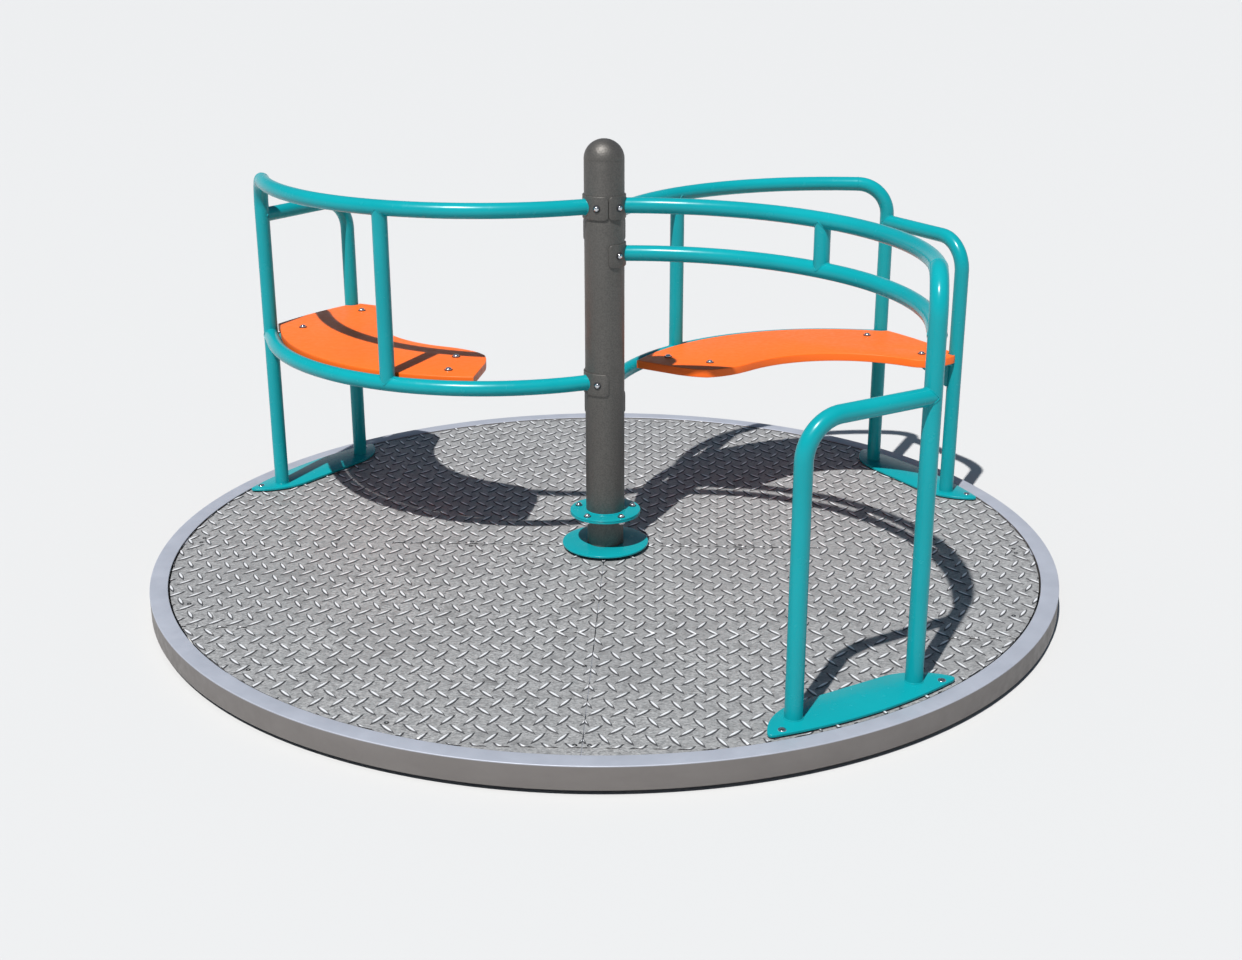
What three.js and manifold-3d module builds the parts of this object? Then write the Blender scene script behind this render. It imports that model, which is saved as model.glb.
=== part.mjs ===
// Playground merry-go-round: a round tread-plate platform that turns on a fixed spindle, with a centre post,
// three bent-tube wings and two crescent seats. Millimetres, +Z up, origin on the spin axis at the ground.
import * as THREE from 'three';
import { mergeVertices } from 'three/addons/utils/BufferGeometryUtils.js';
import Module from 'manifold-3d';

const wasm = await Module();
wasm.setup();

// ---------------------------------------------------------------- driving dimensions
const GAP = 0.3; // clearance kept between faces that touch on the real object
const CUT_REACH = 40; // how far a cutting tool runs past the height that it is centred on

const PLATFORM_RADIUS = 1000;
const RIM_WIDTH = 38;
const RIM_HEIGHT = 48;
const RIM_WALL = 4;
const RIM_SIDES = 72;
const RIM_CLEARANCE = 10; // ground to the underside of the rim
const DECK_TOP = RIM_CLEARANCE + RIM_HEIGHT;
const DECK_THICKNESS = 4;
const DECK_RADIUS = PLATFORM_RADIUS - RIM_WIDTH - 4;
const DECK_HOLE_RADIUS = 60;
const DECK_TURN = -2.6; // degrees from +X to the first seam between the quarter plates
const COLLAR_RADIUS = 97;
const COLLAR_THICKNESS = 5;
const COLLAR_LIFT = 5; // deck to the underside of the collar, which is held by the hub

const SPOKE_COUNT = 8;
const SPOKE_WIDTH = 40;
const SPOKE_HEIGHT = 30;
const SPOKE_WALL = 3;
const SPOKE_START = 55;

const BASE_RADIUS = 280;
const BASE_THICKNESS = 8;
const ANCHOR_COUNT = 8;
const ANCHOR_CIRCLE_RADIUS = 250;
const ANCHOR_HOLE_RADIUS = 9;
const PEDESTAL_TOP = 14;
const PEDESTAL_RADIUS = 75;
const PEDESTAL_NECK_RADIUS = 48;
const PEDESTAL_LIP = 3;
const SPINDLE_RADIUS = 25;
const JOURNAL_RADIUS = 20;
const THREAD_RADIUS = 15;
const THREAD_RISE = 15; // end of the spindle above the hub
const LOCK_NUT_RADIUS = 24;
const LOCK_NUT_HEIGHT = 12;

const HUB_RADIUS = 40.5;
const HUB_PLATE_RADIUS = 170;
const HUB_PLATE_THICKNESS = 8;
const HUB_RISE = 83; // top of the hub above the deck
const HUB_TOP = DECK_TOP + HUB_RISE;
const JOURNAL_TOP = HUB_TOP - 7;
const LOWER_BEARING_BOTTOM = PEDESTAL_TOP + 10;
const BEARING_RADIUS = 36;
const BEARING_HEIGHT = 16;
const RACE_RADIUS = 31.5; // large end of a bearing's inner race
const RACE_TAPER = 2; // radius that a race loses over its height
const RACE_CLEARANCE = 1;
const HUB_BORE_RADIUS = 32; // between the two bearing seats
const SEAL_HEIGHT = 5;
const FLANGE_RADIUS = 79;
const FLANGE_THICKNESS = 4;
const STUD_COUNT = 5;
const STUD_CIRCLE_RADIUS = 64;
const STUD_RADIUS = 5;
const STUD_RING_HALF_WIDTH = 10;
const STUD_RING_THICKNESS = 3.2;
const NUT_RADIUS = 9;
const NUT_HEIGHT = 6;
const NUT_DOME_RADIUS = 6;
const NUT_DOME_RISE = 3;

const POST_RADIUS = 43;
const POST_WALL = 3.6;
const POST_RISE = 912; // top of the domed cap above the deck
const CAP_WALL = 3;
const CAP_SPIGOT = 18;

const TUBE_RADIUS = 16.85;
const TUBE_WALL = 2.6;
const TUBE_SIDES = 12;
const BORE_SIDES = 8;
const BEND_RADIUS = 75;
const BEND_STEPS = 6;

const SADDLE_HEIGHT = 49.4;
const SADDLE_INNER = POST_RADIUS + 0.65;
const SADDLE_OUTER = POST_RADIUS + 3.35;
const SADDLE_SPAN = 155; // degrees of the post that a saddle wraps

const RAIL_START = 44.25; // spin axis to the start of a rail
const RAIL_RADIUS = 550;
const RAIL_SWEEP = 97.3;
const RAIL_STEPS = 12;
const LEG_SPACING = 280;

const FOOT_THICKNESS = 6;
const FOOT_OUTER_RADIUS = 952;
const FOOT_INNER_EDGE = 850;
const FOOT_HALF_STRAIGHT = 95;
const FOOT_END_RADIUS = 140;
const FOOT_HOLE_RADIUS = 6;
const FOOT_HOLE_REACH = 185;
const FOOT_HOLE_OUT = 921; // spin axis to the line through a foot plate's holes
const FOOT_END_ANGLE = 122; // degrees on an end's arc where it turns into the tip
const FOOT_RIM_ANGLE = 12; // degrees from the middle of the outer edge to its end

const SEAT_THICKNESS = 19;
const SEAT_OUTER_RADIUS = RAIL_RADIUS - TUBE_RADIUS - 2;
const SEAT_INNER_RADIUS = 297;
const SEAT_RIM_RADIUS = 903;
const SEAT_BOLT_RADIUS = 5;
const SEAT_BOLT_CIRCLE = 827;
const BRACKET_WIDTH = 40;
const BRACKET_THICKNESS = 6;
const BRACKET_DEPTH = 62;
const RAIL_BRACKET_ALONG = 34.3; // degrees along a seat rail to its bracket
const RAIL_BRACKET_REACH = 354; // centre of the rail's arc to the free end of its bracket

// Each wing leaves the post at its azimuth, in degrees from +X. Heights are tube centres above the deck.
const WINGS = [
  { name: 'wing_a', azimuth: 203.45, top: 772, lower: 388, hoop: 678, seatTop: 409 },
  { name: 'wing_b', azimuth: 89.4, top: 720, lower: 335, hoop: 629, seatTop: 356 },
  { name: 'wing_c', azimuth: -0.4, top: 772, lower: 670, hoop: 561, seatTop: null },
];
const UPRIGHT_ALONG = 46.3; // degrees along a rail to its mid post or strut

// ---------------------------------------------------------------- materials
const metal = (color, roughness, metalness) => new THREE.MeshStandardMaterial({ color, roughness, metalness });
const MATERIALS = {
  teal: metal(0x189aa0, 0.3, 0.1),
  post: metal(0x585654, 0.45, 0.6),
  galvanised: metal(0xb9bdca, 0.5, 0.8),
  tread: metal(0x9a9a9c, 0.55, 0.7),
  steel: metal(0xa8abb0, 0.35, 0.9),
  zinc: metal(0xd6d8dc, 0.25, 0.95),
  seat: metal(0xf27425, 0.45, 0.0),
  rubber: metal(0x1c1c1e, 0.8, 0.0),
};

// ---------------------------------------------------------------- helpers
const model = new THREE.Group();
const radians = THREE.MathUtils.degToRad;
const polar = (radius, degrees) =>
  new THREE.Vector2(radius * Math.cos(radians(degrees)), radius * Math.sin(radians(degrees)));

function addPart(name, geometry, material, parent = model) {
  const mesh = new THREE.Mesh(geometry, material);
  mesh.name = name;
  parent.add(mesh);
  return mesh;
}

function toSolid(geometry) {
  const plain = new THREE.BufferGeometry();
  plain.setAttribute('position', geometry.getAttribute('position'));
  plain.setIndex(geometry.getIndex());
  const merged = mergeVertices(plain, 1e-3);
  const triVerts = Uint32Array.from(merged.getIndex().array);
  const vertProperties = Float32Array.from(merged.getAttribute('position').array);
  return new wasm.Manifold(new wasm.Mesh({ numProp: 3, vertProperties, triVerts }));
}

function toGeometry(solid) {
  const mesh = solid.getMesh();
  const geometry = new THREE.BufferGeometry();
  geometry.setAttribute('position', new THREE.BufferAttribute(Float32Array.from(mesh.vertProperties), 3));
  geometry.setIndex(Array.from(mesh.triVerts));
  geometry.computeVertexNormals();
  return geometry;
}

const joined = (...geometries) => toGeometry(geometries.map(toSolid).reduce((a, b) => a.add(b)));
const cut = (geometry, ...tools) =>
  toGeometry(tools.map(toSolid).reduce((a, b) => a.subtract(b), toSolid(geometry)));

/** Turns a closed outline of [radius, height] pairs about Z. */
function lathe(outline, segments) {
  const points = outline.map(([radius, height]) => new THREE.Vector2(radius, height));
  points.push(points[0].clone());
  return new THREE.LatheGeometry(points, segments).rotateX(Math.PI / 2);
}

const ring = (inner, outer, bottom, top, segments) =>
  lathe([[inner, bottom], [outer, bottom], [outer, top], [inner, top]], segments);

function rod(radius, bottom, top, segments = 12, x = 0, y = 0) {
  const geometry = new THREE.CylinderGeometry(radius, radius, top - bottom, segments).rotateX(Math.PI / 2);
  return geometry.translate(x, y, (bottom + top) / 2);
}

/** The tool of a round hole: its flats, not its corners, keep the radius. */
function drill(radius, bottom, top, segments = 12, x = 0, y = 0) {
  return rod(radius / Math.cos(Math.PI / segments), bottom, top, segments, x, y);
}

/** A flat plate: a shape in plan, from its underside up. */
function plate(shape, bottom, thickness, curveSegments = 12) {
  const geometry = new THREE.ExtrudeGeometry(shape, { depth: thickness, bevelEnabled: false, curveSegments });
  return geometry.translate(0, 0, bottom);
}

/** Copies of a round body or tool, spaced evenly on a circle from the first angle on. */
function aroundCircle(count, circleRadius, firstAngle, make, radius, bottom, top, segments = 12) {
  return Array.from({ length: count }, (_, i) => {
    const at = polar(circleRadius, firstAngle + (i * 360) / count);
    return make(radius, bottom, top, segments, at.x, at.y);
  });
}

/** A path cut exactly at its stations, so a straight takes one step and a bend takes several. */
class StationPath extends THREE.Curve {
  constructor(stations) {
    super();
    this.stations = stations;
  }

  get steps() {
    return this.stations.length - 1;
  }

  stationAt(t) {
    return this.stations[Math.round(t * this.steps)];
  }

  getPoint(t) {
    return this.stationAt(t).point.clone();
  }

  getTangent(t) {
    return this.stationAt(t).heading.clone();
  }

  getUtoTmapping(u) {
    return u;
  }
}

/** Draws a tube's centre line as a bender works: forward so far, then turn by an angle about an axis. */
class Route {
  constructor(point, heading) {
    this.point = point.clone();
    this.heading = heading.clone().normalize();
    this.stations = [];
    this.mark();
  }

  mark() {
    this.stations.push({ point: this.point.clone(), heading: this.heading.clone() });
    return this;
  }

  forward(length) {
    this.point.addScaledVector(this.heading, length);
    return this.mark();
  }

  turn(axis, degrees, radius, steps) {
    const spin = Math.sign(degrees);
    const step = radians(degrees) / steps;
    const centre = axis.clone().cross(this.heading).multiplyScalar(spin * radius).add(this.point);
    for (let i = 0; i < steps; i += 1) {
      this.point.sub(centre).applyAxisAngle(axis, step).add(centre);
      this.heading.applyAxisAngle(axis, step);
      this.mark();
    }
    return this;
  }

  path() {
    return new StationPath(this.stations);
  }
}

function polygon(radius, sides) {
  return Array.from({ length: sides }, (_, i) => polar(radius, (i * 360) / sides));
}

/** A round tube along a route: hollow, or solid and a little larger where it is the tool of a cut. */
function tube(route, radius = TUBE_RADIUS, hollow = true) {
  const section = new THREE.Shape(polygon(radius, TUBE_SIDES));
  if (hollow) {
    section.holes.push(new THREE.Path(polygon(TUBE_RADIUS - TUBE_WALL, BORE_SIDES)));
  }
  const path = route.path();
  return new THREE.ExtrudeGeometry(section, { steps: path.steps, bevelEnabled: false, extrudePath: path });
}

const clearanceTube = (route) => tube(route, TUBE_RADIUS + 1.5 * GAP, false);

const UP = new THREE.Vector3(0, 0, 1);
const DOWN = new THREE.Vector3(0, 0, -1);
const FORWARD = new THREE.Vector3(1, 0, 0);

// ---------------------------------------------------------------- ground base and spindle
function buildBase() {
  const anchorHoles = aroundCircle(
    ANCHOR_COUNT, ANCHOR_CIRCLE_RADIUS, 90, drill, ANCHOR_HOLE_RADIUS, -1, BASE_THICKNESS + 1,
  );
  addPart('base_plate', cut(rod(BASE_RADIUS, 0, BASE_THICKNESS, 48), ...anchorHoles), MATERIALS.galvanised);

  const floor = BASE_THICKNESS + GAP;
  const socket = SPINDLE_RADIUS + GAP;
  const pedestal = [
    [socket, floor], [PEDESTAL_RADIUS, floor], [PEDESTAL_RADIUS, floor + PEDESTAL_LIP],
    [PEDESTAL_NECK_RADIUS, PEDESTAL_TOP], [socket, PEDESTAL_TOP],
  ];
  addPart('spindle_socket', lathe(pedestal, 32), MATERIALS.galvanised);

  const shoulder = PEDESTAL_TOP + 2;
  const spindle = [
    [0, floor], [SPINDLE_RADIUS, floor], [SPINDLE_RADIUS, shoulder], [JOURNAL_RADIUS, shoulder],
    [JOURNAL_RADIUS, JOURNAL_TOP], [THREAD_RADIUS, JOURNAL_TOP],
    [THREAD_RADIUS, HUB_TOP + THREAD_RISE], [0, HUB_TOP + THREAD_RISE],
  ];
  addPart('spindle', lathe(spindle, 24), MATERIALS.steel);
}

// ---------------------------------------------------------------- bearings, seal and nut
function addBearing(name, bottom) {
  const top = bottom + BEARING_HEIGHT;
  const cupOuter = BEARING_RADIUS - GAP;
  const race = RACE_RADIUS + RACE_CLEARANCE;
  const cup = [[race, bottom + 1], [cupOuter, bottom + 1], [cupOuter, top], [race - RACE_TAPER, top]];
  const bore = JOURNAL_RADIUS + GAP;
  const cone = [[bore, bottom], [RACE_RADIUS, bottom], [RACE_RADIUS - RACE_TAPER, top - 1], [bore, top - 1]];
  addPart(`${name}_cup`, lathe(cup, 24), MATERIALS.steel);
  addPart(`${name}_cone`, lathe(cone, 24), MATERIALS.steel);
}

function buildBearings() {
  addBearing('lower_bearing', LOWER_BEARING_BOTTOM);
  addBearing('upper_bearing', JOURNAL_TOP - GAP - BEARING_HEIGHT);
  const sealTop = LOWER_BEARING_BOTTOM - 1;
  const seal = ring(JOURNAL_RADIUS + GAP, BEARING_RADIUS - GAP, sealTop - SEAL_HEIGHT, sealTop, 24);
  addPart('grease_seal', seal, MATERIALS.rubber);
  const nutBottom = JOURNAL_TOP + GAP;
  const nutTop = nutBottom + LOCK_NUT_HEIGHT;
  const threadHole = drill(THREAD_RADIUS + GAP, nutBottom - 1, nutTop + 1, 24);
  addPart('lock_nut', cut(rod(LOCK_NUT_RADIUS, nutBottom, nutTop, 6), threadHole), MATERIALS.zinc);
}

// ---------------------------------------------------------------- hub, studs and centre post
function buildHub() {
  const bottom = PEDESTAL_TOP + 1.4;
  const plateTop = bottom + HUB_PLATE_THICKNESS;
  const top = HUB_TOP;
  const lowerSeatTop = LOWER_BEARING_BOTTOM + BEARING_HEIGHT + GAP;
  const upperSeatBottom = JOURNAL_TOP - 2 * GAP - BEARING_HEIGHT;
  const housing = [
    [BEARING_RADIUS, bottom], [HUB_PLATE_RADIUS, bottom], [HUB_PLATE_RADIUS, plateTop], [HUB_RADIUS, plateTop],
    [HUB_RADIUS, top - FLANGE_THICKNESS], [FLANGE_RADIUS, top - FLANGE_THICKNESS], [FLANGE_RADIUS, top],
    [BEARING_RADIUS, top], [BEARING_RADIUS, upperSeatBottom], [HUB_BORE_RADIUS, upperSeatBottom],
    [HUB_BORE_RADIUS, lowerSeatTop],
    [BEARING_RADIUS, lowerSeatTop],
  ];
  const firstStud = 90 + DECK_TURN;
  const onStudCircle = (make, ...size) => aroundCircle(STUD_COUNT, STUD_CIRCLE_RADIUS, firstStud, make, ...size);
  const studHoles = onStudCircle(drill, STUD_RADIUS + GAP, top - 10, top + 10);
  addPart('hub_housing', cut(lathe(housing, 36), ...studHoles), MATERIALS.teal);

  const flangeTop = top + GAP + FLANGE_THICKNESS;
  const flange = ring(POST_RADIUS + 0.5, FLANGE_RADIUS, top + GAP, flangeTop, 36);
  addPart('post_flange', cut(flange, ...studHoles), MATERIALS.teal);

  const backingTop = top - FLANGE_THICKNESS - GAP;
  const backingBottom = backingTop - STUD_RING_THICKNESS;
  const inside = STUD_CIRCLE_RADIUS - STUD_RING_HALF_WIDTH;
  const backing = ring(inside, STUD_CIRCLE_RADIUS + STUD_RING_HALF_WIDTH, backingBottom, backingTop, 30);
  const nutTop = flangeTop + NUT_HEIGHT;
  const studs = onStudCircle(rod, STUD_RADIUS, backingTop - 1, flangeTop + 1);
  const nuts = onStudCircle(rod, NUT_RADIUS, flangeTop + GAP, nutTop);
  const domes = onStudCircle(rod, NUT_DOME_RADIUS, nutTop - 1, nutTop + NUT_DOME_RISE);
  addPart('flange_stud_ring', joined(backing, ...studs, ...nuts, ...domes), MATERIALS.zinc);
}

function buildPost() {
  const bottom = HUB_TOP + 2 * GAP;
  const top = DECK_TOP + POST_RISE - POST_RADIUS;
  const bore = POST_RADIUS - POST_WALL;
  addPart('centre_post', ring(bore, POST_RADIUS, bottom, top, 32), MATERIALS.post);

  const capBottom = top + GAP;
  const spigot = POST_RADIUS - POST_WALL - GAP;
  const inside = spigot - CAP_WALL;
  const dome = (radius, degrees) => {
    const at = polar(radius, degrees);
    return [Math.max(at.x, 0), capBottom + at.y * ((POST_RADIUS - GAP) / POST_RADIUS)];
  };
  const quarter = [0, 15, 30, 45, 60, 75, 90];
  const cap = [
    ...quarter.map((degrees) => dome(POST_RADIUS, degrees)),
    ...quarter.map((degrees) => dome(inside, degrees)).reverse(),
    [inside, capBottom - CAP_SPIGOT], [spigot, capBottom - CAP_SPIGOT], [spigot, capBottom],
  ];
  addPart('post_cap', lathe(cap, 24), MATERIALS.post);
}

// ---------------------------------------------------------------- platform
function buildPlatform() {
  const inner = PLATFORM_RADIUS - RIM_WIDTH;
  const rim = [
    [PLATFORM_RADIUS - RIM_WALL, RIM_CLEARANCE], [PLATFORM_RADIUS, RIM_CLEARANCE], [PLATFORM_RADIUS, DECK_TOP],
    [inner, DECK_TOP], [inner, RIM_CLEARANCE + 5], [inner + RIM_WALL, RIM_CLEARANCE + 5],
    [inner + RIM_WALL, DECK_TOP - RIM_WALL], [PLATFORM_RADIUS - RIM_WALL, DECK_TOP - RIM_WALL],
  ];
  addPart('rim_ring', lathe(rim, RIM_SIDES), MATERIALS.galvanised);

  const deck = new THREE.Group();
  deck.rotation.z = radians(DECK_TURN);
  model.add(deck);

  const seam = (radius) => Math.asin(0.5 / radius);
  const quarter = new THREE.Shape();
  quarter.absarc(0, 0, DECK_RADIUS, seam(DECK_RADIUS), Math.PI / 2 - seam(DECK_RADIUS), false);
  quarter.absarc(0, 0, DECK_HOLE_RADIUS, Math.PI / 2 - seam(DECK_HOLE_RADIUS), seam(DECK_HOLE_RADIUS), true);
  for (let i = 0; i < 4; i += 1) {
    const geometry = plate(quarter, DECK_TOP - DECK_THICKNESS, DECK_THICKNESS, 9);
    addPart(`deck_quarter_${i + 1}`, geometry, MATERIALS.tread, deck).rotation.z = (i * Math.PI) / 2;
  }

  const half = SPOKE_WIDTH / 2;
  const bore = half - SPOKE_WALL;
  const boreHeight = SPOKE_HEIGHT / 2 - SPOKE_WALL;
  const box = (x, y) => [[-x, -y], [x, -y], [x, y], [-x, y]].map(([u, v]) => new THREE.Vector2(u, v));
  const section = new THREE.Shape(box(SPOKE_HEIGHT / 2, half));
  section.holes.push(new THREE.Path(box(boreHeight, bore)));
  const length = inner * Math.cos(Math.PI / RIM_SIDES) - GAP - SPOKE_START;
  const spokeCentre = DECK_TOP - DECK_THICKNESS - GAP - SPOKE_HEIGHT / 2;
  for (let i = 0; i < SPOKE_COUNT; i += 1) {
    const spoke = new THREE.ExtrudeGeometry(section, { depth: length, bevelEnabled: false });
    spoke.rotateY(Math.PI / 2).translate(SPOKE_START, 0, spokeCentre);
    addPart(`spoke_${i + 1}`, spoke, MATERIALS.galvanised, deck).rotation.z = (i * 2 * Math.PI) / SPOKE_COUNT;
  }

  const collarBottom = DECK_TOP + COLLAR_LIFT;
  const collar = ring(HUB_RADIUS + GAP, COLLAR_RADIUS, collarBottom, collarBottom + COLLAR_THICKNESS, 36);
  addPart('deck_collar', collar, MATERIALS.teal);
}

// ---------------------------------------------------------------- wings
/** A rail's centre line in plan: out of the post, then round to the right, at one height. */
function railRoute(height) {
  return new Route(new THREE.Vector3(RAIL_START - 8, 0, height), FORWARD)
    .forward(8)
    .turn(UP, -RAIL_SWEEP, RAIL_RADIUS, RAIL_STEPS);
}

/** A point beside a rail: so many degrees along it, and a radius from the centre of its arc. */
function besideRail(along, radius) {
  return polar(radius, 90 - along).add(new THREE.Vector2(RAIL_START, -RAIL_RADIUS));
}

/** The upright that the rail bends down into, and the second upright of the hoop clockwise of it. */
const railEnd = railRoute(0);
const LEG_1 = railEnd.point.clone().addScaledVector(railEnd.heading, BEND_RADIUS);
const LEG_CIRCLE_RADIUS = LEG_1.length();
const LEG_1_ANGLE = THREE.MathUtils.radToDeg(Math.atan2(LEG_1.y, LEG_1.x));
const LEG_ANGLE_APART = 2 * THREE.MathUtils.radToDeg(Math.asin(LEG_SPACING / 2 / LEG_CIRCLE_RADIUS));
const LEG_2_PLAN = polar(LEG_CIRCLE_RADIUS, LEG_1_ANGLE - LEG_ANGLE_APART);
const LEG_2 = new THREE.Vector3(LEG_2_PLAN.x, LEG_2_PLAN.y, 0);
const FOOT_TOP = GAP + FOOT_THICKNESS;

const atHeight = (point, height) => point.clone().setZ(height);

/** Cuts that let a tube end fit against the post's saddle and against other tubes. */
const saddleClearance = (height) => drill(SADDLE_OUTER + GAP, height - CUT_REACH, height + CUT_REACH, 32);

function saddle(height) {
  const half = radians(SADDLE_SPAN / 2);
  const shape = new THREE.Shape();
  shape.absarc(0, 0, SADDLE_OUTER, -half, half, false);
  shape.absarc(0, 0, SADDLE_INNER, half, -half, true);
  return plate(shape, height - SADDLE_HEIGHT / 2, SADDLE_HEIGHT, 8);
}

function outerPostRoute(height) {
  const side = new THREE.Vector3().crossVectors(UP, railEnd.heading);
  return new Route(atHeight(railEnd.point, height).addScaledVector(railEnd.heading, GAP), railEnd.heading)
    .turn(side, 90, BEND_RADIUS, BEND_STEPS)
    .forward(height - BEND_RADIUS - FOOT_TOP - GAP);
}

function hoopRoute(height) {
  const across = new THREE.Vector3().subVectors(LEG_2, LEG_1).normalize();
  const side = new THREE.Vector3().crossVectors(UP, across);
  return new Route(atHeight(LEG_1, height), across)
    .forward(LEG_SPACING - BEND_RADIUS)
    .turn(side, 90, BEND_RADIUS, BEND_STEPS)
    .forward(height - BEND_RADIUS - FOOT_TOP - GAP);
}

const uprightRoute = (plan, bottom, top) =>
  new Route(new THREE.Vector3(plan.x, plan.y, top), DOWN).forward(top - bottom);

/** Foot plate on the deck: an outer edge along the rim, a straight inner edge, and rounded ends. */
function footPlate() {
  const endCentre = FOOT_INNER_EDGE + FOOT_END_RADIUS;
  const end = radians(FOOT_END_ANGLE);
  const rim = radians(FOOT_RIM_ANGLE);
  const tip = polar(FOOT_END_RADIUS, FOOT_END_ANGLE).add(new THREE.Vector2(endCentre, FOOT_HALF_STRAIGHT));
  const corner = new THREE.Vector2(13, 6).add(tip);
  const rimEnd = polar(FOOT_OUTER_RADIUS, FOOT_RIM_ANGLE);
  const shape = new THREE.Shape();
  shape.moveTo(FOOT_INNER_EDGE, FOOT_HALF_STRAIGHT);
  shape.absarc(endCentre, FOOT_HALF_STRAIGHT, FOOT_END_RADIUS, Math.PI, end, true);
  shape.quadraticCurveTo(corner.x, corner.y, rimEnd.x, rimEnd.y);
  shape.absarc(0, 0, FOOT_OUTER_RADIUS, rim, -rim, true);
  shape.quadraticCurveTo(corner.x, -corner.y, tip.x, -tip.y);
  shape.absarc(endCentre, -FOOT_HALF_STRAIGHT, FOOT_END_RADIUS, -end, -Math.PI, true);
  const holes = [-FOOT_HOLE_REACH, FOOT_HOLE_REACH]
    .map((reach) => drill(FOOT_HOLE_RADIUS, -10, 20, 12, FOOT_HOLE_OUT, reach));
  const betweenLegs = radians(LEG_1_ANGLE - LEG_ANGLE_APART / 2);
  return cut(plate(shape, GAP, FOOT_THICKNESS, 5), ...holes).rotateZ(betweenLegs);
}

/** Bolt places on a seat: one over each leg bracket and two over the rail bracket. */
const LEG_1_PLAN = new THREE.Vector2(LEG_1.x, LEG_1.y);
const BOLT_NEAR_LEG_1 = polar(SEAT_BOLT_CIRCLE, LEG_1_ANGLE - 1.7);
const BOLT_NEAR_LEG_2 = polar(SEAT_BOLT_CIRCLE, LEG_1_ANGLE - 15.9);
const RAIL_BRACKET_BOLTS = [besideRail(35.2, 374), besideRail(33.4, 482)];
const SEAT_BOLTS = [BOLT_NEAR_LEG_1, BOLT_NEAR_LEG_2, ...RAIL_BRACKET_BOLTS];
const boltHole = (top, x, y) => drill(SEAT_BOLT_RADIUS, top - CUT_REACH, top + CUT_REACH, 8, x, y);

/** Crescent seat in plan: the rail's arc outside, a smaller arc inside, and the rim's arc at its broad end. */
function seatShape() {
  const shape = new THREE.Shape();
  const moveTo = (point) => shape.moveTo(point.x, point.y);
  const lineTo = (point) => shape.lineTo(point.x, point.y);
  const curveTo = (bend, point) => shape.quadraticCurveTo(bend.x, bend.y, point.x, point.y);
  const arcAboutRail = (radius, from, to) =>
    shape.absarc(RAIL_START, -RAIL_RADIUS, radius, radians(90 - from), radians(90 - to), to > from);
  moveTo(besideRail(26.1, SEAT_OUTER_RADIUS));
  arcAboutRail(SEAT_OUTER_RADIUS, 26.1, 105.5);
  const rimFrom = LEG_1_ANGLE - 1.7;
  shape.absarc(0, 0, SEAT_RIM_RADIUS, radians(rimFrom), radians(LEG_1_ANGLE - LEG_ANGLE_APART), true);
  curveTo(polar(897, LEG_1_ANGLE - 18.9), polar(875, LEG_1_ANGLE - 19.3));
  lineTo(polar(850, LEG_1_ANGLE - 19.9));
  curveTo(polar(802, LEG_1_ANGLE - 20.4), besideRail(125, SEAT_INNER_RADIUS));
  arcAboutRail(SEAT_INNER_RADIUS, 125, 45);
  curveTo(besideRail(30.6, 308), besideRail(25.6, 350));
  curveTo(besideRail(24.1, 378), besideRail(24.4, 420));
  lineTo(besideRail(26.1, SEAT_OUTER_RADIUS));
  return shape;
}

function seatBoard(top) {
  const board = plate(seatShape(), top - SEAT_THICKNESS, SEAT_THICKNESS, 6);
  const legHole = ({ x, y }) => drill(TUBE_RADIUS + 4 * GAP, top - CUT_REACH, top + CUT_REACH, 16, x, y);
  const holes = SEAT_BOLTS.map(({ x, y }) => boltHole(top, x, y));
  return cut(board, legHole(LEG_1), legHole(LEG_2), ...holes);
}

/** Gusset bracket welded to a leg: a flat tab under the board and a triangular web below it. */
function legBracket(leg, bolt, top) {
  const direction = bolt.clone().sub(leg);
  const reach = direction.length() + BRACKET_WIDTH / 2;
  const start = TUBE_RADIUS - 4;
  const tab = new THREE.BoxGeometry(reach - start, BRACKET_WIDTH, BRACKET_THICKNESS);
  tab.translate((reach + start) / 2, 0, top - BRACKET_THICKNESS / 2);
  const profile = new THREE.Shape();
  profile.moveTo(start, -BRACKET_THICKNESS / 2);
  profile.lineTo(reach - 6, -BRACKET_THICKNESS / 2);
  profile.lineTo(start + 8, -BRACKET_DEPTH);
  profile.lineTo(start, -BRACKET_DEPTH);
  const web = new THREE.ExtrudeGeometry(profile, { depth: BRACKET_THICKNESS, bevelEnabled: false });
  web.rotateX(Math.PI / 2).translate(0, BRACKET_THICKNESS / 2, top);
  const bracket = toSolid(joined(tab, web));
  const clear = toSolid(rod(TUBE_RADIUS + 1.5 * GAP, top - BRACKET_DEPTH - 1, top + 1, TUBE_SIDES));
  const hole = toSolid(boltHole(top, direction.length(), 0));
  return toGeometry(bracket.subtract(clear).subtract(hole))
    .rotateZ(direction.angle())
    .translate(leg.x, leg.y, 0);
}

/** Flat bar welded to the seat rail, reaching in under the narrow end of the board. */
function railBracket(top) {
  const outer = RAIL_RADIUS - TUBE_RADIUS - 1.5;
  const middle = (outer + RAIL_BRACKET_REACH) / 2;
  const bar = new THREE.BoxGeometry(outer - RAIL_BRACKET_REACH, BRACKET_WIDTH, BRACKET_THICKNESS);
  bar.translate(middle, 0, top - BRACKET_THICKNESS / 2).rotateZ(radians(90 - RAIL_BRACKET_ALONG));
  bar.translate(RAIL_START, -RAIL_RADIUS, 0);
  const holes = RAIL_BRACKET_BOLTS.map(({ x, y }) => boltHole(top, x, y));
  return cut(bar, ...holes);
}

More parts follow.
